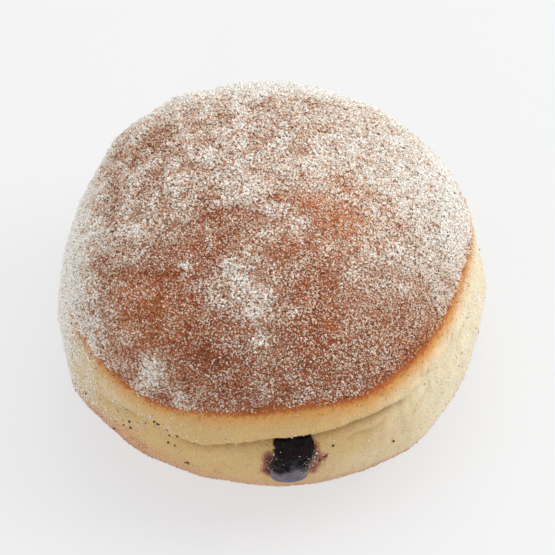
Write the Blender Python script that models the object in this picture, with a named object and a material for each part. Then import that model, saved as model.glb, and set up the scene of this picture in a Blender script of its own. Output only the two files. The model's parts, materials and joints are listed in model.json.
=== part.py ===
"""Jelly filled doughnut: a plump fried bun whose filling has run out under its upper crust.

Metres, +Z up, the bun stands on the XY plane. Azimuth is measured round +Z: 0 is the front (-Y),
where the jelly comes out, and +90 degrees is +X. The climb is the angle up the side of the bun:
-90 degrees at the foot, 0 at the widest ring, +90 at the crown.
"""
import math

import bmesh
import bpy
from mathutils import Matrix, Vector

MM = 0.001

# Driving sizes of the bun
RADIUS = 43.0 * MM            # widest ring
BELLY = 17.8 * MM             # height of the widest ring above the foot
DOME = 37.2 * MM              # height of the crown above the widest ring
FOOT = 14.0 * MM              # radius of the flat spot it rests on
DOME_POWER = 2.35             # 2 is a plain ellipse, more is squarer
BELLY_POWER = 2.0
SEGMENTS = 96                 # columns round the bun

# Outline seen from above: (lobes, share of the radius, azimuth of one lobe)
LOBES = ((2, 0.019, 7.0), (3, 0.011, -42.0), (4, 0.017, 32.0))

# Lumps and dents of the skin: azimuth, climb, spread round, spread up (degrees), height
LUMPS = (
    (-161.0, 38.0, 8.0, 14.0, -0.9 * MM),
    (-150.0, 38.0, 6.0, 12.0, 0.4 * MM),
    (-141.0, 34.0, 5.0, 12.0, -0.5 * MM),
    (-130.0, 34.0, 7.0, 12.0, 0.6 * MM),
    (-108.0, 34.0, 12.0, 14.0, -0.5 * MM),
    (-71.0, 0.0, 7.0, 12.0, -0.8 * MM),
    (-61.0, -4.0, 7.0, 12.0, 0.5 * MM),
    (-46.0, -12.0, 7.0, 12.0, -0.6 * MM),
    (-62.0, 52.0, 24.0, 15.0, -0.6 * MM),
    (-20.0, 42.0, 26.0, 10.0, 0.5 * MM),
    (36.0, 50.0, 24.0, 12.0, -0.5 * MM),
    (41.0, -12.0, 8.0, 12.0, 0.4 * MM),
    (62.0, 4.0, 16.0, 14.0, -0.4 * MM),
    (90.0, 3.0, 12.0, 10.0, 0.6 * MM),
    (100.0, 40.0, 26.0, 13.0, 0.5 * MM),
    (124.0, 32.0, 8.0, 12.0, -0.4 * MM),
    (152.0, 48.0, 24.0, 14.0, 0.3 * MM),
)

# The crease under the lip of the upper crust
CREASE_HEIGHT = 28.0 * MM     # mean height
CREASE_TILT = 3.0 * MM        # it climbs towards +X by this much each side of the middle
CREASE_DEPTH = 1.9 * MM
LIP_SWELL = 0.6 * MM          # the rolled edge above the crease
LIP_SAG = 0.9 * MM            # the edge hangs this far over the crease

# The jelly's way out
MOUTH_AZIMUTH = 6.3           # degrees
MOUTH_HEIGHT = 24.2 * MM
MOUTH_HALF_WIDTH = 3.1 * MM
MOUTH_HALF_DEPTH = 2.2 * MM
POCKET_RADIUS = (16.0 * MM, 14.0 * MM, 9.0 * MM)
POCKET_HEIGHT = 27.0 * MM
GAP = 0.3 * MM                # clearance between the dough and the jelly

# The tongue of jelly that has run down the side
TONGUE_TOP = 12.4             # climb under the lip, degrees
TONGUE_TIP = -3.5             # climb of its lowest point
TONGUE_HALF_WIDTH = 4.0 * MM
TONGUE_THICKNESS = 1.8 * MM
TONGUE_EDGE = 0.12 * MM       # thickness along its rim
TONGUE_DRIFT = 0.6 * MM       # it leans to -X on its way down
TONGUE_ROWS = 22
TONGUE_COLUMNS = 20

# Climbs of the rings, in degrees; the two at the crease follow it round the bun
CREASE_CLIMB = 13.5
RINGS_BELOW = (-90.0, -80.0, -70.0, -60.0, -50.0, -41.0, -33.0, -26.0, -19.5, -13.5, -8.0, -3.0,
               1.5, 5.0, 8.0, 10.5, 12.3)
RINGS_ABOVE = (14.2, 15.6, 17.5, 20.0, 23.5, 28.0, 33.0, 38.0, 43.5, 49.0, 54.5, 60.0, 65.5,
               71.0, 76.0, 80.5, 84.5, 87.5)
FOOT_RINGS = (0.66, 0.33)     # rings inside the flat spot, as shares of its radius


def swell(distance, spread):
    """A smooth bump, 1 at distance 0 and almost nothing past two spreads."""
    return math.exp(-(distance / spread) ** 2)


def turn_between(azimuth, other):
    """The shortest turn from one azimuth to another, in degrees."""
    return (azimuth - other + 180.0) % 360.0 - 180.0


def outline(azimuth):
    """Share of the radius that the uneven outline has at an azimuth."""
    share = 1.0
    for lobes, size, lobe_azimuth in LOBES:
        share += size * math.cos(lobes * math.radians(azimuth - lobe_azimuth))
    return share


def plain_skin(azimuth, climb):
    """A point of the bun before its lumps and its crease."""
    rise = math.sin(math.radians(abs(climb)))
    reach = max(math.cos(math.radians(climb)), 0.0)
    if climb >= 0.0:
        radius = RADIUS * reach ** (2.0 / DOME_POWER)
        height = BELLY + DOME * rise ** (2.0 / DOME_POWER)
    else:
        radius = FOOT + (RADIUS - FOOT) * reach ** (2.0 / BELLY_POWER)
        height = BELLY - BELLY * rise ** (2.0 / BELLY_POWER)
    radius *= outline(azimuth)
    turn = math.radians(azimuth)
    return Vector((radius * math.sin(turn), -radius * math.cos(turn), height))


def skin_normal(azimuth, climb):
    """The outward direction of the plain skin."""
    step = 0.5
    climb = min(climb, 88.0)
    round_way = plain_skin(azimuth + step, climb) - plain_skin(azimuth - step, climb)
    up_way = plain_skin(azimuth, climb + step) - plain_skin(azimuth, climb - step)
    return round_way.cross(up_way).normalized()


def crease_climb(azimuth):
    """Climb at which the crease runs: it wanders, and it is higher on the +X side."""
    turn = math.radians(azimuth)
    height = CREASE_HEIGHT + CREASE_TILT * math.sin(turn)
    height += 0.5 * MM * math.sin(3.0 * turn - 0.6) + 0.3 * MM * math.sin(7.0 * turn + 1.0)
    height -= 1.8 * MM * swell(turn_between(azimuth, -19.0), 9.0)
    height += 0.8 * MM * swell(turn_between(azimuth, 25.0), 8.0)
    rise = (height - BELLY) / DOME
    return math.degrees(math.asin(rise ** (DOME_POWER / 2.0)))


def crease_strength(azimuth):
    """How deep the fold is: sharp at the front and on the right, soft on the left and behind."""
    front = swell(turn_between(azimuth, 0.0), 34.0)
    right = 0.8 * swell(turn_between(azimuth, 52.0), 26.0)
    behind = 0.35 * swell(turn_between(azimuth, 150.0), 40.0)
    wobble = 0.1 * math.sin(math.radians(9.0 * azimuth))
    return min(1.0, 0.16 + front + right + behind + wobble)


def relief(azimuth, climb, from_crease):
    """How far the skin stands out of, or is sunk into, the plain bun."""
    height = 0.0
    for lump_azimuth, lump_climb, spread_round, spread_up, size in LUMPS:
        round_part = swell(turn_between(azimuth, lump_azimuth), spread_round)
        height += size * round_part * swell(climb - lump_climb, spread_up)
    strength = crease_strength(azimuth)
    if from_crease > 0.0:
        height += LIP_SWELL * strength * swell(from_crease - 2.0, 3.6)
    else:
        height -= CREASE_DEPTH * strength * swell(from_crease, 4.2)
    belt = swell(climb - 3.0, 9.0)
    folds = math.sin(math.radians(13.0 * azimuth)) + 0.6 * math.sin(math.radians(29.0 * azimuth))
    quiet = 1.0 - swell(turn_between(azimuth, MOUTH_AZIMUTH), 14.0)
    return height + 0.22 * MM * folds * belt * quiet


def ring_climb(azimuth, climb):
    """Climb of a ring at one azimuth: rings near the crease follow it up and down."""
    return climb + (crease_climb(azimuth) - CREASE_CLIMB) * swell(climb - CREASE_CLIMB, 14.0)


def skin(azimuth, climb):
    """A point of the finished skin, for a ring's nominal climb."""
    true_climb = ring_climb(azimuth, climb)
    from_crease = climb - CREASE_CLIMB
    point = plain_skin(azimuth, true_climb)
    point += skin_normal(azimuth, true_climb) * relief(azimuth, true_climb, from_crease)
    if from_crease > 0.0:
        point.z -= LIP_SAG * crease_strength(azimuth) * swell(from_crease, 1.6)
    return point


def clear_scene():
    for old in list(bpy.data.objects):
        bpy.data.objects.remove(old, do_unlink=True)


def make_material(name, colour, roughness):
    material = bpy.data.materials.new(name)
    material.use_nodes = True
    surface = material.node_tree.nodes["Principled BSDF"]
    surface.inputs["Base Color"].default_value = (*colour, 1.0)
    surface.inputs["Roughness"].default_value = roughness
    surface.inputs["Metallic"].default_value = 0.0
    return material


def make_object(name, bm, material):
    """Turn a bmesh into a smooth-shaded object with its material."""
    bmesh.ops.recalc_face_normals(bm, faces=bm.faces)
    mesh = bpy.data.meshes.new(name)
    bm.to_mesh(mesh)
    bm.free()
    for polygon in mesh.polygons:
        polygon.use_smooth = True
    if material:
        mesh.materials.append(material)
    thing = bpy.data.objects.new(name, mesh)
    bpy.context.scene.collection.objects.link(thing)
    return thing


def join_rings(bm, rings):
    """Quads between each ring of vertices and the next."""
    count = len(rings[0])
    for lower, upper in zip(rings, rings[1:]):
        for i in range(count):
            j = (i + 1) % count
            bm.faces.new((lower[i], lower[j], upper[j], upper[i]))


def fan(bm, ring, centre):
    """Close a ring of vertices with a fan round a middle point."""
    middle = bm.verts.new(centre)
    for i, vertex in enumerate(ring):
        bm.faces.new((vertex, ring[(i + 1) % len(ring)], middle))


def build_bun(material):
    """The whole doughnut as rings from the foot to the crown."""
    bm = bmesh.new()
    azimuths = [360.0 * i / SEGMENTS for i in range(SEGMENTS)]
    rings = []
    for share in reversed(FOOT_RINGS):
        ring = []
        for azimuth in azimuths:
            edge = skin(azimuth, -90.0)
            ring.append(bm.verts.new((edge.x * share, edge.y * share, 0.0)))
        rings.append(ring)
    for climb in RINGS_BELOW + (CREASE_CLIMB,) + RINGS_ABOVE:
        ring = []
        for azimuth in azimuths:
            point = skin(azimuth, climb)
            if climb == -90.0:
                point.z = 0.0
            ring.append(bm.verts.new(point))
        rings.append(ring)
    join_rings(bm, rings)
    fan(bm, rings[0], (0.0, 0.0, 0.0))
    crown = sum((vertex.co for vertex in rings[-1]), Vector()) / SEGMENTS
    fan(bm, rings[-1], crown + Vector((0.0, 0.0, 0.02 * MM)))
    return make_object("dough", bm, material)


def build_pocket(name, grow, material):
    """The filling inside the bun, a flattened ball."""
    bm = bmesh.new()
    size = Matrix.Diagonal([radius + grow for radius in POCKET_RADIUS]).to_4x4()
    place = Matrix.Translation((0.0, 0.0, POCKET_HEIGHT)) @ size
    bmesh.ops.create_uvsphere(bm, u_segments=24, v_segments=12, radius=1.0, matrix=place)
    return make_object(name, bm, material)


def build_channel(name, grow, reach):
    """The way from the middle of the pocket out to the mouth, a flattened tube."""
    start = Vector((0.0, 0.0, POCKET_HEIGHT))
    turn = math.radians(MOUTH_AZIMUTH)
    mouth = Vector((reach * math.sin(turn), -reach * math.cos(turn), MOUTH_HEIGHT))
    size = Matrix.Diagonal((MOUTH_HALF_WIDTH + grow, MOUTH_HALF_DEPTH + grow, 1.0)).to_4x4()
    lay_down = (mouth - start).to_track_quat("Z", "Y").to_matrix().to_4x4()
    place = Matrix.Translation((start + mouth) / 2.0) @ lay_down @ size
    bm = bmesh.new()
    bmesh.ops.create_cone(bm, cap_ends=True, segments=24, radius1=1.0, radius2=1.0,
                          depth=(mouth - start).length, matrix=place)
    return make_object(name, bm, None)


def round_end(share):
    """Height of a quarter circle: 0 at share 0, rising to 1 at share 1 and past it."""
    return math.sqrt(1.0 - (1.0 - min(max(share, 0.0), 1.0)) ** 2)


def tongue_point(across, along, outer):
    """A point of the tongue: across -1 to 1, along 0 under the lip to 1 at the tip."""
    climb = TONGUE_TOP + (TONGUE_TIP - TONGUE_TOP) * along
    top = 0.2 + 0.8 * round_end(along / 0.1)
    tip = 0.2 + 0.8 * round_end((1.0 - along) / 0.25)
    widening = 0.86 + 0.14 * math.sin(math.pi * min(along, 0.75) / 1.5)
    half_width = TONGUE_HALF_WIDTH * widening * top * tip
    drift = TONGUE_DRIFT * along
    azimuth = MOUTH_AZIMUTH + math.degrees((across * half_width - drift) / RADIUS)
    edge = round_end(1.0 - abs(across))
    fullness = 0.7 + 0.3 * math.sin(math.pi * along)
    full_thickness = TONGUE_EDGE + TONGUE_THICKNESS * fullness * edge * top * tip
    thickness = full_thickness if outer else 0.0
    return skin(azimuth, climb) + skin_normal(azimuth, climb) * (GAP + thickness)


def build_tongue(name):
    """The jelly outside: it fills the crease under the lip and hangs down over the belt."""
    bm = bmesh.new()
    rings = []
    for row in range(TONGUE_ROWS + 1):
        along = row / TONGUE_ROWS
        ring = []
        for column in range(TONGUE_COLUMNS):
            share = -math.cos(math.pi * column / (TONGUE_COLUMNS - 1))
            ring.append(bm.verts.new(tongue_point(share, along, True)))
        for column in range(TONGUE_COLUMNS):
            share = math.cos(math.pi * column / (TONGUE_COLUMNS - 1))
            ring.append(bm.verts.new(tongue_point(share, along, False)))
        rings.append(ring)
    join_rings(bm, rings)
    for ring in (rings[0], rings[-1]):
        centre = sum((vertex.co for vertex in ring), Vector()) / len(ring)
        fan(bm, ring, centre)
    return make_object(name, bm, None)


def combine(thing, cutter, operation):
    """Add or take away another solid, which stays as a hidden helper."""
    step = thing.modifiers.new(operation.lower(), "BOOLEAN")
    step.operation = operation
    step.object = cutter
    step.solver = "EXACT"
    cutter.hide_render = True
    cutter.display_type = "WIRE"


def build_filling(name, grow, reach, material):
    """Pocket and channel as one solid."""
    filling = build_pocket(name, grow, material)
    channel = build_channel(name + "_channel", grow, reach)
    combine(filling, channel, "UNION")
    return filling


def main():
    clear_scene()
    dough_material = make_material("fried_dough", (0.42, 0.22, 0.13), 0.75)
    jelly_material = make_material("dark_jelly", (0.012, 0.008, 0.012), 0.12)
    dough = build_bun(dough_material)
    hollow = build_filling("hollow", GAP, RADIUS + 3.0 * MM, None)
    combine(dough, hollow, "DIFFERENCE")
    jelly = build_filling("jelly", 0.0, RADIUS + 0.2 * MM, jelly_material)
    tongue = build_tongue("tongue")
    combine(jelly, tongue, "UNION")


main()
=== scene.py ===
# %% [markdown]
# # A sugared doughnut with dark jelly, made in Blender
# A filled doughnut is one plump piece of fried dough. It floats in hot oil and is turned once, so
# both faces go brown and the belt between them stays pale. Here it is built up the way a baker
# sees it: first the dough, then its browning, then the jelly that has run out, and last the sugar.

# %% Load the measured model
import json
import math
import bpy
import numpy as np
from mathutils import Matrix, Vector, noise

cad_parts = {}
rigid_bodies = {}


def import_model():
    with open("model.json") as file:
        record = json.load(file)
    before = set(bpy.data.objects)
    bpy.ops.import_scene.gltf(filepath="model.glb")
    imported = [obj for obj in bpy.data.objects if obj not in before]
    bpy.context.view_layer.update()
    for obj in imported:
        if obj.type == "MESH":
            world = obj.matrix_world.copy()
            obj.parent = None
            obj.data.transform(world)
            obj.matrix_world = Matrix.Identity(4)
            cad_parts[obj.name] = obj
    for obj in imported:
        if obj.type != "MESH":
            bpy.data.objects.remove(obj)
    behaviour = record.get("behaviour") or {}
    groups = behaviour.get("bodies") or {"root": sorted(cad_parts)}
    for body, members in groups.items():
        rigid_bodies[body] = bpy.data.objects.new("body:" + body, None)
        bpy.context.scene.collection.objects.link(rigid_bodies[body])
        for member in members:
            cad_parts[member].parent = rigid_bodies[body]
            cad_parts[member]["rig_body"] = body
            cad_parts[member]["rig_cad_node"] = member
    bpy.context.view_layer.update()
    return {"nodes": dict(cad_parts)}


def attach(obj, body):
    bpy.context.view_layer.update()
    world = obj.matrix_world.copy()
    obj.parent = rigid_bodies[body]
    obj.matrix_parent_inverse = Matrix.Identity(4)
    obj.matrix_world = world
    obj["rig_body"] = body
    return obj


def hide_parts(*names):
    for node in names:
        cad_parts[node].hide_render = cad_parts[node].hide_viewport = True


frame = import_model()
MM = 0.001

# %% [markdown]
# ## Table, light and camera
# Food is shot on a white table under big soft lights. Here one softbox hangs above and behind,
# and one stands at the right, so that the far and right edges are bright. A weak one at the left
# fills the shade, and a very small lamp low in front puts sparks on the jelly and the sugar. The
# table glows a little, as a lit white sheet does, which keeps the shadow faint. A long lens from
# about 50 degrees above keeps the shape true.

# %% Small helpers for picking and making
def only(*things):
    """Select these objects and no others, and make the first one active."""
    if bpy.context.object and bpy.context.object.mode != "OBJECT":
        bpy.ops.object.mode_set(mode="OBJECT")
    for other in list(bpy.context.selected_objects):
        other.select_set(False)
    for thing in things:
        thing.select_set(True)
    bpy.context.view_layer.objects.active = things[0]


def linear(red, green, blue):
    """A colour as a screen shows it (0 to 255), turned into the light it stands for."""
    shares = [channel / 255.0 for channel in (red, green, blue)]
    return tuple(s / 12.92 if s <= 0.04045 else ((s + 0.055) / 1.055) ** 2.4 for s in shares) + (1.0,)


# %% The table
bpy.ops.mesh.primitive_plane_add(size=8.0, location=(0.0, 0.0, 0.0))
table = bpy.context.object
table.name = "table"
paint = bpy.data.materials.new("white_table")
paint.use_nodes = True
paint_surface = paint.node_tree.nodes["Principled BSDF"]
paint_surface.inputs["Base Color"].default_value = (0.22, 0.2215, 0.223, 1.0)
paint_surface.inputs["Roughness"].default_value = 0.7
paint_surface.inputs["Specular IOR Level"].default_value = 0.1
paint_surface.inputs["Emission Color"].default_value = (0.99, 0.995, 1.0, 1.0)
paint_surface.inputs["Emission Strength"].default_value = 0.64
table.data.materials.append(paint)
print("the table is", round(table.dimensions.x, 1), "m wide")

# %% The room's light
world = bpy.data.worlds.new("studio")
bpy.context.scene.world = world
world.use_nodes = True
room = world.node_tree.nodes["Background"]
room.inputs["Color"].default_value = (0.97, 0.98, 1.0, 1.0)
room.inputs["Strength"].default_value = 0.53


def softbox(name, place, aim, size, watts, tint):
    """A square studio light that faces a point; place, aim and size are in metres."""
    bpy.ops.object.light_add(type="AREA", location=place)
    lamp = bpy.context.object
    lamp.name = name
    lamp.data.shape = "SQUARE"
    lamp.data.size = size
    lamp.data.energy = watts
    lamp.data.color = tint
    lamp.rotation_euler = (Vector(aim) - Vector(place)).to_track_quat("-Z", "Y").to_euler()


MIDDLE = (0.0, 0.0, 0.03)
WARM_LIGHT = (1.0, 0.985, 0.96)
PLAIN_LIGHT = (1.0, 1.0, 1.0)
softbox("over_light", (0.08, 0.30, 0.82), MIDDLE, 0.7, 2.8, WARM_LIGHT)
softbox("side_light", (0.55, 0.10, 0.46), MIDDLE, 0.45, 3.0, WARM_LIGHT)
softbox("fill_light", (-0.50, -0.12, 0.34), MIDDLE, 0.5, 0.52, PLAIN_LIGHT)
softbox("spark_light", (-0.20, -0.50, 0.20), MIDDLE, 0.05, 0.30, PLAIN_LIGHT)
print("four lights round the table")

# %% The camera
CAMERA_CLIMB = math.radians(50.0)
CAMERA_DISTANCE = 0.516       # metres
look_back = Vector((0.0, -math.cos(CAMERA_CLIMB), math.sin(CAMERA_CLIMB)))
look_up = Vector((0.0, math.sin(CAMERA_CLIMB), math.cos(CAMERA_CLIMB)))
aim_point = Vector((0.0015, 0.0, 0.029)) - look_up * 0.0031
bpy.ops.object.camera_add(location=aim_point + look_back * CAMERA_DISTANCE)
camera = bpy.context.object
camera.rotation_euler = look_back.to_track_quat("Z", "Y").to_euler()
camera.data.lens = 170.4
camera.data.sensor_width = 36.0
camera.data.clip_start = 0.01
bpy.context.scene.camera = camera
bpy.context.scene.view_settings.view_transform = "Standard"
print("camera", [round(c, 3) for c in camera.location])

# %% [markdown]
# ## The dough
# The measured model already has the bun's true outline and its lip. A copy of it is cleaned up
# and subdivided, so that there are enough points for the folds, puckers and small pores that
# proving and frying leave. Sculpting them in code keeps every one of them in its place.

# %% A fine copy of the bun
SAME_POINT = 0.02 * MM        # points closer than this are merged
QUAD_ANGLE = math.radians(60.0)


def working_copy(cad_name, piece_name, to_quads=False):
    """A loose copy of one measured solid, with its doubled points merged."""
    thing = frame["nodes"][cad_name].copy()
    thing.data = thing.data.copy()
    thing.name = piece_name
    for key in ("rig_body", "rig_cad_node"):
        if key in thing:
            del thing[key]
    thing.parent = None
    bpy.context.scene.collection.objects.link(thing)
    thing.data.materials.clear()
    only(thing)
    bpy.ops.object.mode_set(mode="EDIT")
    bpy.ops.mesh.select_all(action="SELECT")
    bpy.ops.mesh.remove_doubles(threshold=SAME_POINT)
    if to_quads:
        bpy.ops.mesh.tris_convert_to_quads(face_threshold=QUAD_ANGLE, shape_threshold=QUAD_ANGLE)
    bpy.ops.mesh.customdata_custom_splitnormals_clear()
    bpy.ops.object.mode_set(mode="OBJECT")
    return thing


dough = working_copy("dough", "bun", to_quads=True)
refine = dough.modifiers.new("refine", "SUBSURF")
refine.levels = 2
refine.render_levels = 2
bpy.ops.object.modifier_apply(modifier="refine")
print("the bun has", len(dough.data.polygons), "faces")

# %% [markdown]
# ## Where everything is on the bun
# Every mark on a round bun is easiest to place by its azimuth, 0 at the front where the jelly is
# and 90 on the right, and by its height above the table. The plan position, seen from above,
# suits the sugar. Each is worked out once for all points, and later steps read them.

# %% Azimuth, height and plan position of every point
FRONT_TURN = 6.3              # azimuth of the jelly, in degrees
BELT_RADIUS = 43.0            # of the bun, in mm
BUN_MIDDLE = np.array((0.0, 0.0, 18.0))


def rows_of(items, what):
    """One vector for each point or face of a mesh, as rows of three numbers."""
    flat = np.zeros(len(items) * 3)
    items.foreach_get(what, flat)
    return flat.reshape(-1, 3)


def points_of(thing):
    """All points of a mesh, in millimetres."""
    return rows_of(thing.data.vertices, "co") / MM


def azimuth_of(points):
    """Turn round the bun in degrees: 0 at the front, 90 on the right."""
    return np.degrees(np.arctan2(points[:, 0], -points[:, 1]))


def bump(distance, spread):
    """1 in the middle, and almost nothing two spreads away."""
    return np.exp(-(distance / spread) ** 2)


def turn_from(azimuth, other):
    """How far one azimuth is from another, -180 to 180."""
    return (azimuth - other + 180.0) % 360.0 - 180.0


def across_jelly(points):
    """How far a point of the belt is to the right of the jelly's middle, in mm."""
    return np.radians(turn_from(azimuth_of(points), FRONT_TURN)) * BELT_RADIUS


def cloudy(points, size, seed=0.0):
    """Soft random variation from -1 to 1, with lumps about as big as size, in mm."""
    shift = Vector((seed, seed * 1.7, seed * 0.3))
    return np.array([noise.noise(Vector(p / size) + shift) for p in points])


def step_up(value, low, high):
    """0 below low, 1 above high, smooth between."""
    share = np.clip((value - low) / (high - low), 0.0, 1.0)
    return share * share * (3.0 - 2.0 * share)


def is_outside(points, normals):
    """1 on the skin, 0 on the walls of the pocket and the channel."""
    outward = points - BUN_MIDDLE
    outward /= np.linalg.norm(outward, axis=1)[:, None]
    return step_up((outward * normals).sum(axis=1), 0.25, 0.45)


print("the fine bun has", len(points_of(dough)), "points")

# %% [markdown]
# ## Proving marks
# The skin of proved dough is never smooth. It has broad dimples, small puckers near the crease,
# and on the right a few short folds where the two halves of the bun pull on each other. Each
# fold is a line with a groove below it and a soft roll above, pressed into the skin.

# %% The crease under the lip
def crease_height(azimuth):
    """Height of the lip's edge above the table, in mm: it climbs towards the right."""
    turn = np.radians(azimuth)
    height = 27.3 + 3.0 * np.sin(turn) + 0.5 * np.sin(3.0 * turn - 0.6) + 0.3 * np.sin(7.0 * turn + 1.0)
    height -= 1.8 * bump(turn_from(azimuth, -19.0), 9.0)
    return height + 0.8 * bump(turn_from(azimuth, 25.0), 8.0)


def crease_sharpness(azimuth):
    """1 along the front and the start of the right side, 0 elsewhere."""
    return step_up(azimuth, -26.0, -17.0) * (1.0 - step_up(azimuth, 33.0, 40.0))


print("the lip's edge is", round(float(crease_height(0.0)), 1), "mm up at the front")

# %% Finer faces along the lip, so that its edge can be crisp
face_middles = rows_of(dough.data.polygons, "center") / MM
face_turns = azimuth_of(face_middles)
from_crease = face_middles[:, 2] - crease_height(face_turns)
beside_lip = (np.abs(from_crease) < 4.5) & (face_turns > -30.0) & (face_turns < 62.0)
beside_lip &= np.hypot(face_middles[:, 0], face_middles[:, 1]) > 36.0
only(dough)
bpy.ops.object.mode_set(mode="EDIT")
bpy.ops.mesh.select_mode(type="FACE")
bpy.ops.mesh.select_all(action="DESELECT")
bpy.ops.object.mode_set(mode="OBJECT")
dough.data.polygons.foreach_set("select", beside_lip)
bpy.ops.object.mode_set(mode="EDIT")
bpy.ops.mesh.subdivide(number_cuts=1)
bpy.ops.object.mode_set(mode="OBJECT")
print("with the lip refined it has", len(dough.data.polygons), "faces")

# %% Press the folds and dimples into the skin
# Short folds: start azimuth, start height, end azimuth, end height, depth, all in degrees and mm
FOLDS = (
    (35.5, 29.0, 45.0, 31.8, 1.05),
    (47.0, 30.2, 58.0, 33.0, 0.75),
    (38.0, 24.2, 47.0, 27.6, 0.22),
    (19.0, 24.6, 31.0, 26.6, 0.35),
    (-52.0, 23.0, -34.0, 25.5, 0.35),
    (-74.0, 26.5, -55.0, 24.0, 0.35),
    (60.0, 27.0, 72.0, 31.0, 0.3),
    (150.0, 24.0, 168.0, 27.0, 0.5),
    (100.0, 26.0, 116.0, 23.5, 0.4),
)


def along_fold(azimuth, height, fold):
    """Height above a fold's wavy line, and its depth, which fades out at both ends, in mm."""
    start_turn, start_height, end_turn, end_height, depth = fold
    run = (azimuth - start_turn) / (end_turn - start_turn)
    line = start_height + (end_height - start_height) * run + 0.35 * np.sin(run * 7.0)
    ends = step_up(run, -0.15, 0.2) * (1.0 - step_up(run, 0.8, 1.15))
    return height - line, depth * ends


def fold_relief(azimuth, height, fold):
    """Groove and roll along one short fold, in mm."""
    above, depth = along_fold(azimuth, height, fold)
    groove = np.where(above > 0.0, bump(above, 0.25), bump(above, 1.3))
    roll = np.where(above > 0.0, bump(above - 1.1, 0.8), 0.4 * bump(above + 2.6, 1.0))
    return depth * (0.5 * roll - groove)


def lip_relief(azimuth, height):
    """A crisp edge along the crease, with small bites out of it."""
    bites = 0.35 * np.sin(np.radians(azimuth) * 53.0) * np.sin(np.radians(azimuth) * 17.0 + 0.8)
    above = height - crease_height(azimuth) - bites
    groove = np.where(above > 0.0, bump(above, 0.3), bump(above, 1.5))
    roll = np.where(above > 0.0, bump(above - 1.2, 1.0), 0.0)
    right = step_up(azimuth, 13.0, 19.0)
    return crease_sharpness(azimuth) * (0.35 * roll - (0.7 + 0.5 * right) * groove)


def press_marks(thing):
    """Move every point of the skin in or out by the marks it lies under."""
    points = points_of(thing)
    normals = rows_of(thing.data.vertices, "normal")
    azimuth = azimuth_of(points)
    height = points[:, 2]
    relief = 0.30 * cloudy(points, 9.0) + 0.16 * cloudy(points, 3.6, 5.0)
    for fold in FOLDS:
        relief += fold_relief(azimuth, height, fold)
    relief += 0.13 * cloudy(points, 2.3, 45.0) * step_up(height, 32.0, 37.0)
    belt = bump(height - 25.0, 7.0)
    squeezed = np.stack([azimuth * 0.75 * 0.55, height * 0.14, azimuth * 0.0], axis=1)
    relief += 0.26 * belt * cloudy(squeezed, 1.0, 3.0)
    relief += (0.06 - 0.02 * belt) * cloudy(points, 1.1, 9.0)
    quiet = 1.0 - 0.85 * bump(turn_from(azimuth, FRONT_TURN), 9.0) * bump(height - 22.0, 6.0)
    relief = relief * quiet + lip_relief(azimuth, height)
    foot = step_up(height, 0.05, 2.0)
    moved = points + normals * (relief * is_outside(points, normals) * foot)[:, None]
    thing.data.vertices.foreach_set("co", (moved * MM).ravel())
    thing.data.update()
    return relief


marks = press_marks(dough)
print("marks from", round(float(marks.min()), 2), "to", round(float(marks.max()), 2), "mm")

# %% [markdown]
# ## Where the bun is brown
# Browning follows the oil's surface: it stops at an edge that wanders round the bun, with a
# golden rim just above the pale belt, and the same happens the other way up round the foot. The
# distance to each edge is stored on the mesh as a number at each point, and the material reads it.

# %% Heights of the two browned edges
def crust_edge(azimuth):
    """Height of the lower edge of the brown crust, in mm."""
    turn = np.radians(azimuth)
    height = 32.4 + 1.8 * np.sin(turn) + 0.4 * np.sin(5.0 * turn + 1.0) + 0.25 * np.sin(11.0 * turn)
    height += 1.9 * bump(turn_from(azimuth, 58.0), 22.0)
    return height - 1.5 * bump(turn_from(azimuth, -27.0), 12.0)


def underside_edge(azimuth):
    """Height of the upper edge of the browned underside, in mm."""
    turn = np.radians(azimuth)
    height = 14.2 - 2.8 * np.sin(turn) + 0.5 * np.sin(4.0 * turn)
    return height + 3.4 * bump(turn_from(azimuth, -44.0), 24.0)


belt_height = float(crust_edge(0.0) - underside_edge(0.0))
print("at the front the pale belt is", round(belt_height, 1), "mm high")


# %% Where the jelly has soaked into the belt
def soaked(points, azimuth_middle, height_middle, azimuth_spread, height_spread):
    """1 at the middle of a patch of the skin, 0 outside it."""
    aside = bump(turn_from(azimuth_of(points), azimuth_middle), azimuth_spread)
    return aside * bump(points[:, 2] - height_middle, height_spread)


def jelly_stain(points):
    """Where thin jelly has soaked into the belt on both sides of the tongue, 0 to 1."""
    left = np.maximum(soaked(points, 0.0, 21.4, 1.5, 2.0), soaked(points, 0.2, 18.9, 1.7, 1.6))
    right = np.maximum(soaked(points, 11.4, 23.8, 1.2, 1.8), soaked(points, 12.2, 21.4, 1.6, 1.8))
    right = np.maximum(right, soaked(points, 10.6, 18.9, 1.5, 1.5))
    right = np.maximum(right, 1.4 * soaked(points, 14.0, 21.9, 0.6, 0.6))
    soak = np.maximum(1.4 * left, 0.75 * right)
    return np.clip(soak + 0.25 * cloudy(points, 1.3, 4.0) * step_up(soak, 0.03, 0.25), 0.0, 1.0)


# %% Orange crust, painted light on the belt's sides, and moist dough with painted shade under the lip
def warm_crust(points):
    """1 where the crust is orange rather than red brown."""
    glow = bump(points[:, 0] - 13.0, 13.0) * bump(points[:, 1] + 6.0, 14.0)
    glow = np.maximum(glow, 0.8 * bump(points[:, 0] + 24.0, 9.0) * bump(points[:, 1] + 26.0, 9.0))
    return np.clip(glow + 0.4 * cloudy(points, 5.0, 2.0), 0.0, 1.0)


def painted_light_side(points):
    """Painted light on the belt: 1 on its lit right side, 0 at the front, and between on the left."""
    azimuth = azimuth_of(points)
    right = step_up(azimuth, 14.0, 54.0) * (1.0 - step_up(azimuth, 120.0, 165.0))
    low = 0.5 * step_up(azimuth, 5.0, 25.0) * step_up(24.0 - points[:, 2], 0.0, 6.0)
    left = 0.5 * step_up(-azimuth, 30.0, 60.0) * (1.0 - step_up(-azimuth, 110.0, 150.0))
    return np.maximum(np.maximum(right, left), low)


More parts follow.
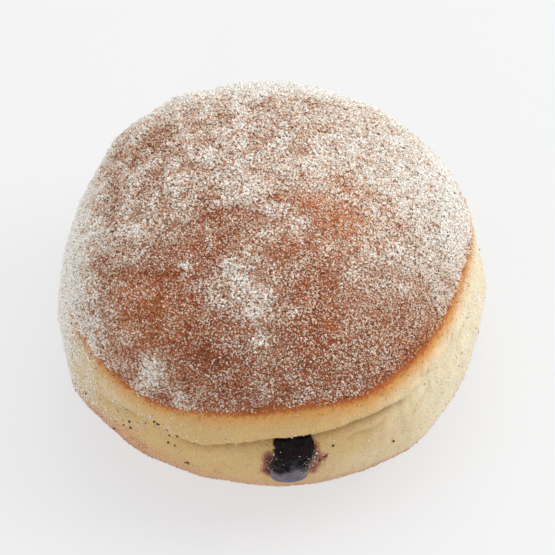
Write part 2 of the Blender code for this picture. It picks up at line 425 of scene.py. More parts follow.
def shade_and_moist_under_lip(points):
    """1 just under the lip's edge and along the folds, where the dough stays damp and yellow, and where
    painted shade darkens the crease.
    """
    azimuth = azimuth_of(points)
    below = crease_height(azimuth) - points[:, 2]
    shade = crease_sharpness(azimuth) * bump(below - 0.7, 1.1)
    for fold in FOLDS:
        above, depth = along_fold(azimuth, points[:, 2], fold)
        shade = np.maximum(shade, depth * bump(above + 0.3, 0.8))
    return shade


# %% [markdown]
# ## Where the sugar lies
# Sugar sticks in drifts: thick and white on the far side and at both ends, thin at the front, where the
# crust shows through. At the far side and the right end the extra whiteness is partly painted light, for
# the bright far and right edges. How white it is and how closely the grains lie are worked out for any
# point by the two functions here, once for a fine film on the skin and again for each grain.

# %% Where the sugar is white and where it is brown
# Bare spots, with one broad painted shade among them, and white drifts seen from above: x, y, spread
# along x, spread along y (mm), strength
BARE_SPOTS_AND_SHADE = (
    (-22.0, -23.0, 5.0, 4.5, 0.30), (-17.0, -29.0, 4.5, 4.0, 0.18), (-31.0, -15.0, 3.0, 3.0, 0.08),
    (-24.0, 1.5, 3.5, 3.5, 0.12), (-24.0, 13.0, 6.0, 4.0, 0.16), (-11.0, -17.0, 4.0, 2.5, 0.18),
    (-10.5, -9.5, 2.5, 2.0, 0.20), (-5.5, -11.0, 2.5, 3.0, 0.14), (-3.0, 14.0, 5.0, 3.0, 0.12),
    (5.0, 10.0, 4.0, 5.0, 0.10), (-2.0, 3.0, 3.0, 3.0, 0.10), (14.0, -1.0, 2.5, 2.5, 0.16),
    (18.5, -4.0, 2.5, 2.5, 0.20), (8.0, -8.0, 3.5, 3.0, 0.18), (13.5, -11.0, 4.0, 6.0, 0.22),
    (24.0, -8.0, 4.0, 3.0, 0.10), (1.5, -6.5, 1.6, 1.6, 0.34), (4.5, -17.0, 4.0, 3.0, 0.14),
    (8.5, -23.0, 4.0, 3.0, 0.16), (7.5, -31.0, 4.5, 4.5, 0.16), (9.0, 22.0, 5.0, 3.0, 0.10),
    # (-20, 14) is no bare spot but a broad painted shade over the upper left
    (-12.0, -35.0, 7.0, 4.0, 0.10), (-20.0, 14.0, 12.0, 11.0, 0.05), (25.0, -27.0, 6.0, 5.0, 0.06),
)
WHITE_DRIFTS = (
    (-8.0, 0.0, 5.0, 5.0, 0.06), (-12.0, -1.0, 7.0, 7.0, 0.03), (-3.0, -5.0, 3.0, 3.0, 0.12),
    (2.5, -12.0, 3.0, 3.0, 0.12), (22.0, 2.0, 12.0, 16.0, 0.12), (3.0, 3.0, 8.0, 9.0, 0.07),
    (-7.0, -22.5, 4.0, 3.5, 0.20), (-2.0, -26.0, 4.0, 6.0, 0.14), (18.5, -17.0, 4.0, 4.0, 0.10),
    (-22.0, -33.0, 2.6, 2.0, 0.42), (-17.0, -37.0, 1.8, 1.6, 0.30), (-27.0, -7.0, 6.0, 6.0, 0.14),
    (-9.0, 9.0, 6.0, 5.0, 0.10), (0.0, -33.0, 4.0, 3.0, 0.12), (-31.0, -25.0, 4.0, 6.0, 0.14),
    (0.0, 40.0, 30.0, 6.0, 0.06),
)
# the weight below also sets how dark that painted shade is
BARENESS_AND_SHADE = 1.4                # how strongly the bare spots count
DRIFTING = 1.3                # how strongly the white drifts count


def whiteness(points):
    """How white the sugar is on average, 0 to 1, with painted light at the far edge and the right end."""
    x, y, height = points.T
    # from the front to the back, and more at the very back: more sugar there, and painted light on the
    # bright far edge
    white = 0.50 + 0.34 * step_up(y + 0.20 * x, -38.0, 26.0) + 0.37 * step_up(y, 19.0, 33.0)
    on_top = step_up(height, 28.0, 31.0)
    for spot_x, spot_y, spread_x, spread_y, strength in BARE_SPOTS_AND_SHADE:
        white -= BARENESS_AND_SHADE * strength * bump(x - spot_x, spread_x) * bump(y - spot_y, spread_y) * on_top
    for spot_x, spot_y, spread_x, spread_y, strength in WHITE_DRIFTS:
        white += DRIFTING * strength * bump(x - spot_x, spread_x) * bump(y - spot_y, spread_y) * on_top
    # the right end is whiter: more sugar, and painted light for its bright, washed-out edge
    right_end_sugar_and_light = 0.25 * step_up(x, 27.0, 41.0) * (0.25 + 0.75 * step_up(y, -22.0, 2.0))
    left_end = 0.72 * step_up(-x, 30.0, 41.0)
    white += right_end_sugar_and_light + left_end
    # white on the belt, brown under the bun
    return white + (0.20 - 0.56 * step_up(20.0 - height, 0.0, 3.0)) * (1.0 - on_top)


# %% How closely the grains lie
def closeness(points):
    """How closely the grains lie, 0 to 1: packed on the crust, sparse on the belt."""
    azimuth = azimuth_of(points)
    height = points[:, 2]
    above = height - crust_edge(azimuth) + 0.9 * cloudy(points, 1.6, 21.0)
    left_rim = 1.0 - step_up(azimuth, -18.0, 2.0)
    on_crust = step_up(above + 0.5 * left_rim, 0.4, 2.6)
    # the belt: a dusting all round, more behind, most at the left
    behind = step_up(np.abs(turn_from(azimuth, 5.0)), 70.0, 120.0)
    left = bump(turn_from(azimuth, -90.0), 27.0) * (0.75 + 0.5 * cloudy(points, 5.0, 33.0))
    on_belt = 0.03 + 0.12 * behind + 0.65 * left + 0.22 * bump(turn_from(azimuth, -62.0), 34.0)
    on_belt += 0.05 * bump(turn_from(azimuth, 70.0), 35.0) + 0.10 * step_up(above, -3.0, 0.8)
    on_belt += 0.10 * np.clip(cloudy(points, 7.0, 25.0), 0.0, 1.0) * behind
    # the underside, and the wet skin beside the jelly
    below = step_up(underside_edge(azimuth) - height, -2.5, 1.5)
    low = step_up(13.0 - height, 0.0, 5.0)
    under = 0.45 * below * (0.3 + 0.7 * np.maximum(low, step_up(np.abs(azimuth), 18.0, 40.0)))
    under *= step_up(height, 0.8, 4.0) * (1.0 + 0.6 * cloudy(points, 4.0, 41.0))
    sticky = 0.25 * step_up(jelly_stain(points), 0.3, 0.6) * (0.4 + 0.6 * step_up(azimuth, 5.0, 7.0))
    return np.clip(np.maximum(np.maximum(on_crust, under), on_belt + sticky), 0.0, 1.0)


# %% Store them on the bun
def store(thing, name, values):
    """Keep one number for each point of a mesh."""
    layer = thing.data.attributes.new(name, "FLOAT", "POINT")
    layer.data.foreach_set("value", values.astype(np.float32))


skin_points = points_of(dough)
skin_azimuth = azimuth_of(skin_points)
store(dough, "above_edge", skin_points[:, 2] - crust_edge(skin_azimuth))
store(dough, "below_edge", underside_edge(skin_azimuth) - skin_points[:, 2])
store(dough, "jelly_stain", jelly_stain(skin_points))
store(dough, "warm_crust", warm_crust(skin_points))
store(dough, "painted_light_side", painted_light_side(skin_points))
store(dough, "shade_and_moist_under_lip", shade_and_moist_under_lip(skin_points))
film = np.clip(whiteness(skin_points), 0.0, 1.0) * closeness(skin_points)
store(dough, "sugar_film", film)
print("stored the browning of", len(skin_points), "points")

# %% [markdown]
# ## Fried dough, from cream to chestnut
# The belt is cream with a silky skin. Above it the crust runs through gold and orange to a red
# brown, and under the bun the same happens the other way up. One material does all of it: the
# stored distance to the edge, roughened with noise, is the place on a colour ramp.

# %% Make a node or a material
def node(tree, kind, place, **settings):
    """A new node of this kind, at this place in the node editor."""
    made = tree.nodes.new(kind)
    made.location = place
    for key, value in settings.items():
        setattr(made, key, value)
    return made


def new_material(name):
    """A material with only its Principled surface, and that surface."""
    material = bpy.data.materials.new(name)
    material.use_nodes = True
    return material, material.node_tree, material.node_tree.nodes["Principled BSDF"]


def stored(tree, name, place):
    """The number that the mesh keeps for each point under this name."""
    return node(tree, "ShaderNodeAttribute", place, attribute_name=name).outputs["Fac"]


# %% Noise, sums and relief
def noise_of(tree, coordinates, size, detail, place):
    """Noise whose lumps are about as big as size, in mm."""
    made = node(tree, "ShaderNodeTexNoise", place)
    made.inputs["Scale"].default_value = 1.0 / (size * MM)
    made.inputs["Detail"].default_value = detail
    tree.links.new(coordinates, made.inputs["Vector"])
    return made.outputs["Fac"]


def maths(tree, operation, place, *sides, clamp=False):
    """One sum; each side is a socket or a plain number."""
    made = node(tree, "ShaderNodeMath", place, operation=operation, use_clamp=clamp)
    for socket, value in zip(made.inputs, sides):
        if isinstance(value, (int, float)):
            socket.default_value = value
        else:
            tree.links.new(value, socket)
    return made.outputs[0]


def relief_of(tree, surface, height, strength, depth):
    """Small relief from a height socket, depth in mm, on a Principled surface."""
    made = node(tree, "ShaderNodeBump", (-200, -300))
    made.inputs["Strength"].default_value = strength
    made.inputs["Distance"].default_value = depth * MM
    tree.links.new(height, made.inputs["Height"])
    tree.links.new(made.outputs["Normal"], surface.inputs["Normal"])


# %% Mix colours
def ramp(tree, factor, stops, place):
    """A colour ramp; stops are (position, colour)."""
    made = node(tree, "ShaderNodeValToRGB", place)
    elements = made.color_ramp.elements
    while len(elements) < len(stops):
        elements.new(0.5)
    for element, (position, colour) in zip(elements, stops):
        element.position = position
        element.color = colour
    tree.links.new(factor, made.inputs["Fac"])
    return made.outputs["Color"]


def blend_colours(tree, factor, first, second, place, kind="MIX"):
    """Two colours mixed or multiplied; factor and colours are sockets or plain values."""
    made = node(tree, "ShaderNodeMix", place, data_type="RGBA", blend_type=kind)
    for socket, value in ((made.inputs[0], factor), (made.inputs[6], first), (made.inputs[7], second)):
        if isinstance(value, (int, float, tuple)):
            socket.default_value = value
        else:
            tree.links.new(value, socket)
    return made.outputs[2]


# %% The colours from cream to chestnut
CREAM = linear(214, 182, 124)
# cream with painted light, for the belt's lit sides
LIT_CREAM = linear(232, 220, 190)
FILM = linear(193, 179, 163)
WHITE_FILM = linear(218, 210, 200)
# damp yellow dough under the lip and the folds, darkened as painted shade of the crease
MOIST_AND_SHADE = linear(188, 150, 88)
GOLD = linear(214, 158, 86)
AMBER = linear(186, 101, 32)
RUSSET = linear(158, 84, 38)
CHESTNUT = linear(160, 86, 50)
WARM_CRUST = linear(196, 118, 66)
ROSE = linear(210, 160, 116)
UNDER_BROWN = linear(186, 128, 88)
WHITE = (1.0, 1.0, 1.0, 1.0)
BLACK = (0.0, 0.0, 0.0, 1.0)


def grey(share):
    """A grey between black and white, for ramps that only give a share."""
    return (share, share, share, 1.0)


for name, tone in (("cream", CREAM), ("gold", GOLD), ("chestnut", CHESTNUT)):
    print(name, "as light:", [round(channel, 2) for channel in tone[:3]])


# %% The pale belt
def belt_colour(tree):
    """Cream, lighter at the right and the left as painted light, and yellow and darker under the lip:
    damp dough with painted shade.
    """
    lit_share = stored(tree, "painted_light_side", (-2000, 1100))
    belt = blend_colours(tree, lit_share, CREAM, LIT_CREAM, (-1800, 1100))
    moist_and_shade_share = stored(tree, "shade_and_moist_under_lip", (-2000, 950))
    return blend_colours(tree, moist_and_shade_share, belt, MOIST_AND_SHADE, (-1600, 1000))


# %% The browned crust and underside
def add_crust(tree, colour, ragged):
    """The crust over this colour, from a golden rim to chestnut."""
    above = stored(tree, "above_edge", (-2000, 600))
    edge = maths(tree, "ADD", (-1600, 600), above, ragged)
    share = maths(tree, "MULTIPLY_ADD", (-1400, 600), edge, 0.10, 0.28, clamp=True)
    browning = ramp(tree, share, (
        (0.0, GOLD), (0.29, GOLD), (0.37, AMBER), (0.48, RUSSET), (0.66, CHESTNUT), (1.0, CHESTNUT),
    ), (-1200, 600))
    warm = stored(tree, "warm_crust", (-2000, 850))
    deep = ramp(tree, share, ((0.42, BLACK), (0.56, WHITE)), (-1200, 400))
    on_crust = maths(tree, "MULTIPLY", (-1200, 850), warm, deep)
    browning = blend_colours(tree, on_crust, browning, WARM_CRUST, (-1000, 700))
    reach = ramp(tree, share, ((0.0, BLACK), (0.16, grey(0.4)), (0.28, WHITE)), (-1000, 500))
    return blend_colours(tree, reach, colour, browning, (-800, 700))


def add_underside(tree, colour, ragged):
    """The browned underside over this colour."""
    below = stored(tree, "below_edge", (-2000, -400))
    edge = maths(tree, "ADD", (-1600, -400), below, ragged)
    share = maths(tree, "MULTIPLY_ADD", (-1400, -400), edge, 0.12, 0.30, clamp=True)
    reach = ramp(tree, share, ((0.0, BLACK), (0.45, grey(0.8)), (1.0, WHITE)), (-1200, -400))
    browning = ramp(tree, share, ((0.0, ROSE), (0.6, ROSE), (1.0, UNDER_BROWN)), (-1200, -650))
    return blend_colours(tree, reach, colour, browning, (-600, 500))


# %% Mottling and pores
def add_mottling(tree, colour, broad, fine):
    """Broad yellow mottling and fine dark pores over this colour."""
    mottle = ramp(tree, broad, ((0.35, (0.90, 0.86, 0.78, 1.0)), (0.65, WHITE)), (-1200, 100))
    colour = blend_colours(tree, 0.6, colour, mottle, (-500, 400), "MULTIPLY")
    pores = ramp(tree, fine, (
        (0.36, (0.86, 0.80, 0.70, 1.0)), (0.5, WHITE), (0.64, (1.08, 1.08, 1.1, 1.0)),
    ), (-1200, -100))
    return blend_colours(tree, 0.5, colour, pores, (-400, 400), "MULTIPLY")


# %% The sugar film and the jelly stain
def add_film(tree, colour, fine):
    """A film of the finest sugar over this colour, patchy where it is thin."""
    film = stored(tree, "sugar_film", (-2000, -1200))
    patchy = maths(tree, "MULTIPLY_ADD", (-1800, -1200), fine, 0.9, -0.45)
    patchy = maths(tree, "ADD", (-1600, -1200), film, patchy)
    powder = ramp(tree, patchy, ((0.45, BLACK), (0.90, grey(0.75))), (-1200, -1200))
    powder_colour = ramp(tree, film, ((0.72, FILM), (1.0, WHITE_FILM)), (-1200, -1450))
    return blend_colours(tree, powder, colour, powder_colour, (-350, 500))


def add_stain(tree, colour, small):
    """Dough dyed pink to plum where jelly has soaked in."""
    stain = stored(tree, "jelly_stain", (-2000, -900))
    blotchy = maths(tree, "MULTIPLY_ADD", (-1850, -1000), small, 1.6, 0.2)
    stain = maths(tree, "MULTIPLY", (-1700, -900), stain, blotchy)
    dyed = ramp(tree, stain, (
        (0.06, WHITE), (0.28, linear(226, 184, 180)), (0.45, linear(192, 142, 146)),
        (0.62, linear(164, 118, 126)), (0.80, linear(124, 84, 94)), (1.0, linear(92, 60, 72)),
    ), (-1200, -900))
    return blend_colours(tree, 1.0, colour, dyed, (-300, 400), "MULTIPLY")


# %% The whole skin
def make_dough_material():
    """Belt, crust, underside, mottling, sugar film and jelly stain, one over the other."""
    material, tree, surface = new_material("fried_dough")
    place = node(tree, "ShaderNodeTexCoord", (-2200, 0)).outputs["Object"]
    broad = noise_of(tree, place, 6.0, 3.0, (-2000, 300))
    small = noise_of(tree, place, 1.1, 4.0, (-2000, 100))
    fine = noise_of(tree, place, 0.4, 3.0, (-2000, -100))
    ragged = maths(tree, "MULTIPLY_ADD", (-1800, 600), small, 1.8, -0.9)
    colour = add_crust(tree, belt_colour(tree), ragged)
    colour = add_underside(tree, colour, ragged)
    colour = add_mottling(tree, colour, broad, fine)
    colour = add_film(tree, colour, fine)
    colour = add_stain(tree, colour, small)
    tree.links.new(colour, surface.inputs["Base Color"])
    relief_of(tree, surface, maths(tree, "ADD", (-400, -300), fine, small), 0.45, 0.3)
    surface.inputs["Roughness"].default_value = 0.55
    surface.inputs["Specular IOR Level"].default_value = 0.35
    surface.inputs["Subsurface Weight"].default_value = 0.15
    surface.inputs["Subsurface Radius"].default_value = (1.0, 0.5, 0.25)
    surface.inputs["Subsurface Scale"].default_value = 2.5 * MM
    print("the dough's material has", len(tree.nodes), "nodes")
    return material


dough.data.materials.append(make_dough_material())
only(dough)
bpy.ops.object.shade_smooth()
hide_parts("dough")
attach(dough, "root")

# %% [markdown]
# ## The jelly
# Dark fruit jelly is almost black where it is thick, and shines like wet glass. It wells out under the
# lip, rolls over and hangs down. The measured solid is remeshed to even points and smoothed, and then
# ripples and a few bubbles are pressed into the part that shows. Its lower end is rougher, and painted
# grey there as the reflection of the white table.

# %% Take a fine copy of the jelly
jelly = working_copy("jelly", "run_out_jelly")
even = jelly.modifiers.new("even", "REMESH")
even.mode = "VOXEL"
even.voxel_size = 0.25 * MM
bpy.ops.object.modifier_apply(modifier="even")
soften = jelly.modifiers.new("soften", "SMOOTH")
soften.factor = 0.5
soften.iterations = 8
bpy.ops.object.modifier_apply(modifier="soften")
bpy.ops.object.shade_smooth()
print("the jelly has", len(jelly.data.polygons), "faces")

# %% Ripples and bubbles
# Bubbles: how far across the tongue from its middle, height, radius and swell, all in mm
BUBBLES = (
    (-2.2, 24.0, 0.80, 0.22), (-2.9, 22.6, 0.35, 0.10), (0.6, 24.6, 0.40, 0.10), (2.2, 24.0, 0.45, 0.12),
    (-1.0, 21.6, 0.35, 0.09), (2.6, 21.4, 0.30, 0.10), (-2.6, 19.6, 0.30, 0.08), (1.4, 22.4, 0.30, 0.09),
)


def ripple(thing):
    """Give the hanging part of the jelly its ripples, and set it a little to the left lower down."""
    points = points_of(thing)
    normals = rows_of(thing.data.vertices, "normal")
    across = across_jelly(points)
    height = points[:, 2]
    outside = step_up(np.hypot(points[:, 0], points[:, 1]), 40.0, 41.0)
    upper = step_up(height, 18.5, 22.0)
    fine_swell = 0.22 * cloudy(points, 0.75, 6.0) * (0.25 + 0.75 * upper)
    swell = 0.40 * cloudy(points, 1.5, 2.0) * upper + fine_swell
    for bubble_across, bubble_height, radius, size in BUBBLES:
        distance = np.hypot(across - bubble_across, height - bubble_height) / radius
        swell += size * (bump(distance - 0.8, 0.35) - 0.5 * bump(distance, 0.5))
    moved = points + normals * (swell * outside)[:, None]
    lower = step_up(25.0 - height, 0.0, 6.0)
    turn = -(0.11 * across * lower + 0.65 * lower) * outside / BELT_RADIUS
    turned_x = moved[:, 0] * np.cos(turn) - moved[:, 1] * np.sin(turn)
    turned_y = moved[:, 0] * np.sin(turn) + moved[:, 1] * np.cos(turn)
    moved = np.stack([turned_x, turned_y, moved[:, 2]], axis=1)
    thing.data.vertices.foreach_set("co", (moved * MM).ravel())
    thing.data.update()


ripple(jelly)

# %% Where the jelly is rougher and painted grey as a reflection
jelly_points = points_of(jelly)
tall_middle = 1.9 * bump(across_jelly(jelly_points) + 0.2, 1.6)
matte_sheen_height = 21.3 + tall_middle + 0.9 * cloudy(jelly_points, 1.3, 7.0)
matte_sheen_share = step_up(matte_sheen_height - jelly_points[:, 2], 0.0, 2.4)
store(jelly, "matte_sheen", matte_sheen_share)
print("dried at", int((matte_sheen_share > 0.5).sum()), "of", len(jelly_points), "points, most of them inside")


# %% Colour the jelly
def make_jelly_material():
    """Nearly black and glossy where it is wet; rougher lower down, where a painted grey stands for the
    table's reflection.
    """
    material, tree, surface = new_material("dark_jelly")
    place = node(tree, "ShaderNodeTexCoord", (-900, 0)).outputs["Object"]
    cloud = noise_of(tree, place, 1.2, 4.0, (-700, 0))
    wet = ramp(tree, cloud, (
        (0.35, (0.003, 0.002, 0.003, 1.0)), (0.75, (0.016, 0.006, 0.010, 1.0)),
    ), (-400, 0))
    # painted reflection of the white table: grey on the jelly's lower end
    grey_sheen = ramp(tree, cloud, (
        (0.35, (0.125, 0.108, 0.124, 1.0)), (0.7, (0.20, 0.173, 0.195, 1.0)),
    ), (-400, -200))
    matte_sheen = stored(tree, "matte_sheen", (-700, -400))
    colour = blend_colours(tree, matte_sheen, wet, grey_sheen, (-200, 0))
    tree.links.new(colour, surface.inputs["Base Color"])
    gloss = maths(tree, "MULTIPLY_ADD", (-400, -450), matte_sheen, 0.27, 0.06)
    tree.links.new(gloss, surface.inputs["Roughness"])
    still_wet = maths(tree, "SUBTRACT", (-550, -700), 1.0, matte_sheen)
    pimpled = noise_of(tree, place, 0.45, 2.0, (-700, -600))
    pimpled = maths(tree, "MULTIPLY", (-400, -600), pimpled, still_wet)
    relief_of(tree, surface, maths(tree, "ADD", (-300, -450), cloud, pimpled), 0.7, 0.4)
    surface.inputs["IOR"].default_value = 1.4
    surface.inputs["Specular IOR Level"].default_value = 0.13
    return material


jelly.data.materials.append(make_jelly_material())
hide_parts("jelly")
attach(jelly, "root")
reach = float(np.hypot(jelly_points[:, 0], jelly_points[:, 1]).max())
print("the jelly reaches", round(reach, 1), "mm from the bun's middle")

# %% [markdown]
# ## The sugar
# Fine sugar is real grains about a third of a millimetre across, and cinnamon and melted sugar tint many
# of them brown. Painted on they would look like frost, so they are modelled: rough crystals at a random
# turn and size, packed all over the crust. Where the sugar lies thick they are nearly white, and where it
# is thin most of them have soaked up fat and taken the colour of the crust. A few small pale ones on the
# jelly are sugar, and also stand for its painted glints.

# %% The triangles that the grains can lie on
dough.data.calc_loop_triangles()
corner_ids = np.zeros(len(dough.data.loop_triangles) * 3, np.int32)
dough.data.loop_triangles.foreach_get("vertices", corner_ids)
corners = points_of(dough)[corner_ids.reshape(-1, 3)]
middles = corners.mean(axis=1)
crossed = np.cross(corners[:, 1] - corners[:, 0], corners[:, 2] - corners[:, 0])
areas = np.linalg.norm(crossed, axis=1) / 2.0
facings = crossed / np.maximum(np.linalg.norm(crossed, axis=1), 1e-12)[:, None]
odds = areas * closeness(middles) * (is_outside(middles, facings) > 0.9) * (middles[:, 2] > 1.0)
print("the sugar lies on", round(float(odds.sum())), "square mm")

# %% Two shapes of crystal
SPLINTER = np.array([(1, 1, 1), (-1, -1, 1), (-1, 1, -1), (1, -1, -1)], float) * 0.75
SPLINTER_FACES = np.array([(0, 2, 1), (0, 1, 3), (0, 3, 2), (1, 2, 3)])
CRYSTAL = np.array([(1, 0, 0), (-1, 0, 0), (0, 1, 0), (0, -1, 0), (0, 0, 1), (0, 0, -1)], float)
CRYSTAL_FACES = np.array([
    (0, 2, 4), (2, 1, 4), (1, 3, 4), (3, 0, 4), (2, 0, 5), (1, 2, 5), (3, 1, 5), (0, 3, 5),
])
print("a splinter has", len(SPLINTER_FACES), "faces and a crystal", len(CRYSTAL_FACES))


# %% Many crystals in one mesh
def random_turns(chance, count):
    """Rotation matrices that turn a crystal any way at all."""
    spin = chance.normal(size=(count, 4))
    spin /= np.linalg.norm(spin, axis=1)[:, None]
    w, x, y, z = spin.T
    rows = (
        (1 - 2 * (y * y + z * z), 2 * (x * y - z * w), 2 * (x * z + y * w)),
        (2 * (x * y + z * w), 1 - 2 * (x * x + z * z), 2 * (y * z - x * w)),
        (2 * (x * z - y * w), 2 * (y * z + x * w), 1 - 2 * (x * x + y * y)),
    )
    return np.stack([np.stack(row, axis=1) for row in rows], axis=1)


def make_grains(name, spots, half, shape, shape_faces, chance, material):
    """One mesh piece of many crystals at these spots; half is each one's half size, in mm."""
    count, corner_count = len(spots), len(shape)
    rough = shape[None] * chance.uniform(0.7, 1.25, (count, corner_count, 1))
    turned = np.einsum("nij,nkj->nki", random_turns(chance, count), rough)
    places = (spots[:, None] + turned * half[:, None, None]) * MM
    faces = (np.arange(count)[:, None, None] * corner_count + shape_faces[None]).reshape(-1, 3)
    mesh = bpy.data.meshes.new(name)
    mesh.from_pydata(places.reshape(-1, 3), [], faces)
    mesh.update()
    mesh.materials.append(material)
    piece = bpy.data.objects.new(name, mesh)
    bpy.context.scene.collection.objects.link(piece)
    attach(piece, "root")
    print(name, "has", count, "grains")
    return piece


# %% Colour the sugar
def make_sugar_material():
    """From brown to white by each grain's own whiteness, on a redder or a more orange crust."""
    material, tree, surface = new_material("fine_sugar")
    white = stored(tree, "white", (-900, 0))
    plain = ramp(tree, white, (
        (0.0, linear(128, 58, 28)), (0.22, linear(202, 126, 76)), (0.5, linear(210, 182, 157)),
        (0.75, linear(221, 209, 195)), (1.0, linear(238, 234, 227)),
    ), (-600, 100))
    orange = ramp(tree, white, (
        (0.0, linear(172, 90, 38)), (0.25, linear(208, 150, 102)), (0.5, linear(226, 205, 185)),
        (0.75, linear(232, 219, 205)), (1.0, linear(241, 237, 230)),
    ), (-600, -150))
    colour = blend_colours(tree, stored(tree, "warm", (-900, -300)), plain, orange, (-300, 0))
    tree.links.new(colour, surface.inputs["Base Color"])
    surface.inputs["Roughness"].default_value = 0.35
    surface.inputs["Specular IOR Level"].default_value = 0.5
    return material


sugar = make_sugar_material()
print("the sugar's material has", len(sugar.node_tree.nodes), "nodes")


# %% Pick a spot and a whiteness for each grain
def random_spots(chance, count):
    """Random points on the skin, more of them where the sugar lies close, and their triangles."""
    picked = chance.choice(len(odds), size=count, p=odds / odds.sum())
    a, b = chance.random(count), chance.random(count)
    flip = a + b > 1.0
    a[flip], b[flip] = 1.0 - a[flip], 1.0 - b[flip]
    first, second, third = corners[picked].transpose(1, 0, 2)
    return picked, first + a[:, None] * (second - first) + b[:, None] * (third - first)


def clumped_whiteness(spots):
    """Whiteness with clumps a few millimetres wide, weaker at the right."""
    clumps = cloudy(spots, 3.4, 14.0)
    return whiteness(spots) + (0.36 - 0.16 * step_up(spots[:, 0], 2.0, 16.0)) * clumps


def tint(chance, spots, white):
    """Make single grains whiter or browner than the rest, and those at the rim browner."""
    x, y, height = spots.T
    azimuth = azimuth_of(spots)
    from_edge = height - crust_edge(azimuth)
    thin = 1.0 - step_up(white, 0.25, 0.6)
    calm = np.maximum(step_up(x, 16.0, 36.0), step_up(y, 18.0, 38.0))
    calm = np.maximum(calm, step_up(-x, 32.0, 41.0))
    uneven = 0.20 * cloudy(spots, 0.8, 12.0) + (0.15 + 0.12 * thin) * chance.normal(size=len(spots))
    white = white + uneven * (1.0 - 0.5 * calm)
    dirty_share = 0.22 * (1.0 - 0.85 * calm) * (0.25 + 0.75 * step_up(from_edge, -2.0, 1.0))
    dirty = chance.random(len(spots)) < dirty_share
    white -= np.where(dirty, 0.45, -0.04 - 0.05 * thin)
    rim_reach = 2.0 + 1.5 * step_up(azimuth, -18.0, 2.0) + 2.5 * step_up(azimuth, 20.0, 50.0)
    white -= 0.42 * (1.0 - step_up(from_edge / rim_reach, 0.0, 1.0)) * step_up(from_edge, -1.2, 0.2)
    return np.maximum(white, 0.32 * step_up(-from_edge, 7.0, 11.0))


# %% Strew it
def strew(name, count, smallest, biggest, seed, shape, shape_faces):
    """Many crystals on the skin, closer and whiter where the sugar lies thick; sizes in mm."""
    chance = np.random.default_rng(seed)
    picked, spots = random_spots(chance, count)
    packed = odds[picked] / areas[picked]
    white = clumped_whiteness(spots)
    half = 0.5 * (smallest + (biggest - smallest) * chance.random(count) ** 1.5)
    half *= 0.6 + 0.4 * step_up(packed, 0.2, 0.8)
    half *= 0.95 + 0.50 * step_up(white, 0.45, 0.85)
    heap = np.clip(0.42 * cloudy(spots, 1.2, 30.0), 0.0, 0.32) * step_up(packed, 0.6, 0.9)
    white = tint(chance, spots, white)
    near_rim = 1.0 - step_up(spots[:, 2] - crust_edge(azimuth_of(spots)), 1.0, 4.0)
    spots = spots + facings[picked] * (half * chance.uniform(0.1, 0.8, count) + heap)[:, None]
    piece = make_grains(name, spots, half, shape, shape_faces, chance, sugar)
    store(piece, "white", np.repeat(np.clip(white, 0.0, 1.0), len(shape)))
    store(piece, "warm", np.repeat(np.maximum(warm_crust(spots), near_rim), len(shape)))


strew("sugar_dust", 49000, 0.20, 0.38, 11, SPLINTER, SPLINTER_FACES)
strew("sugar_splinters", 49000, 0.28, 0.50, 12, SPLINTER, SPLINTER_FACES)
strew("sugar_fine", 24500, 0.30, 0.46, 13, CRYSTAL, CRYSTAL_FACES)
strew("sugar_grains", 24500, 0.36, 0.60, 14, CRYSTAL, CRYSTAL_FACES)


# %% A few pale grains on the jelly: sugar, and painted glints
def sprinkle_jelly(count, seed):
    """Small pale crystals on the hanging part of the jelly, most of them near its sides: sugar, and
    painted glints.
    """
    chance = np.random.default_rng(seed)
    centres = rows_of(jelly.data.polygons, "center") / MM
    normals = rows_of(jelly.data.polygons, "normal")
    x, y, height = centres.T
    near_sides = step_up(np.abs(across_jelly(centres) + 0.3), 1.0, 2.2)
    chances = step_up(np.hypot(x, y), 41.0, 42.0) * step_up(height, 18.5, 20.0)
    chances *= (1.0 - step_up(height, 24.5, 26.0)) * (0.22 + 0.78 * near_sides)
    picked = chance.choice(len(chances), size=count, p=chances / chances.sum())
    half = chance.uniform(0.05, 0.11, count)
    spots = centres[picked] + normals[picked] * half[:, None] * 0.4
    piece = make_grains("jelly_sugar_and_glints", spots, half, SPLINTER, SPLINTER_FACES, chance, sugar)
    store(piece, "white", np.repeat(chance.uniform(0.4, 1.0, count), len(SPLINTER)))
    store(piece, "warm", np.zeros(count * len(SPLINTER)))


sprinkle_jelly(60, 21)

# %% [markdown]
# ## Dark specks
# Ground spice leaves a few nearly black specks, most of them in a loose trail on the left of the
# belt. They are the same eight-sided crystals, a little bigger, and each is put by azimuth and
# height on the nearest triangle of the skin.

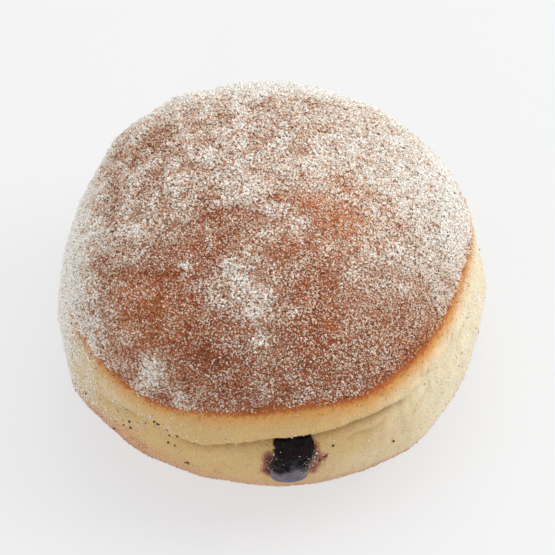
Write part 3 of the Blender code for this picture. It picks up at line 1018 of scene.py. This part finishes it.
# %% Scatter the dark specks
# Trails: azimuth, height, spread in degrees, spread in mm, how many
SPECK_TRAILS = (
    (-31.0, 25.5, 2.6, 1.1, 12), (-24.0, 22.0, 2.0, 1.2, 4), (-40.0, 22.5, 2.5, 1.2, 5),
    (-21.5, 18.0, 0.8, 0.8, 3), (-49.0, 20.0, 8.0, 3.0, 5), (-60.0, 17.0, 3.0, 2.0, 3),
    (-60.0, 25.0, 8.0, 3.0, 4), (35.0, 22.0, 14.0, 3.0, 5), (70.0, 33.0, 9.0, 3.0, 5),
    (165.0, 25.0, 60.0, 6.0, 18), (0.0, 45.0, 120.0, 7.0, 70),
)


def speck_spots(chance):
    """Points on the skin for the specks, with the direction the skin faces there."""
    on_skin = np.flatnonzero(is_outside(middles, facings) > 0.9)
    skin_turn = azimuth_of(middles[on_skin])
    chosen = []
    for azimuth, height, spread_turn, spread_height, count in SPECK_TRAILS:
        turns = chance.normal(azimuth, spread_turn, count)
        levels = chance.normal(height, spread_height, count)
        for turn, level in zip(turns, levels):
            away = np.hypot(turn_from(skin_turn, turn) * 0.75, middles[on_skin, 2] - level)
            chosen.append(on_skin[int(away.argmin())])
    return middles[chosen], facings[chosen]


def make_speck_material():
    """Dark brown, nearly black."""
    material, tree, surface = new_material("ground_spice")
    place = node(tree, "ShaderNodeTexCoord", (-700, 0)).outputs["Object"]
    cloud = noise_of(tree, place, 0.8, 2.0, (-500, 0))
    colour = ramp(tree, cloud, ((0.35, linear(38, 26, 20)), (0.7, linear(84, 56, 38))), (-300, 0))
    tree.links.new(colour, surface.inputs["Base Color"])
    surface.inputs["Roughness"].default_value = 0.7
    return material


speck_chance = np.random.default_rng(31)
speck_places, speck_facings = speck_spots(speck_chance)
speck_half = 0.5 * speck_chance.uniform(0.25, 0.75, len(speck_places))
SPECK_LIFT = 0.08             # of the specks off the skin, in mm
make_grains("spice_specks", speck_places + speck_facings * SPECK_LIFT, speck_half, CRYSTAL, CRYSTAL_FACES,
            speck_chance, make_speck_material())
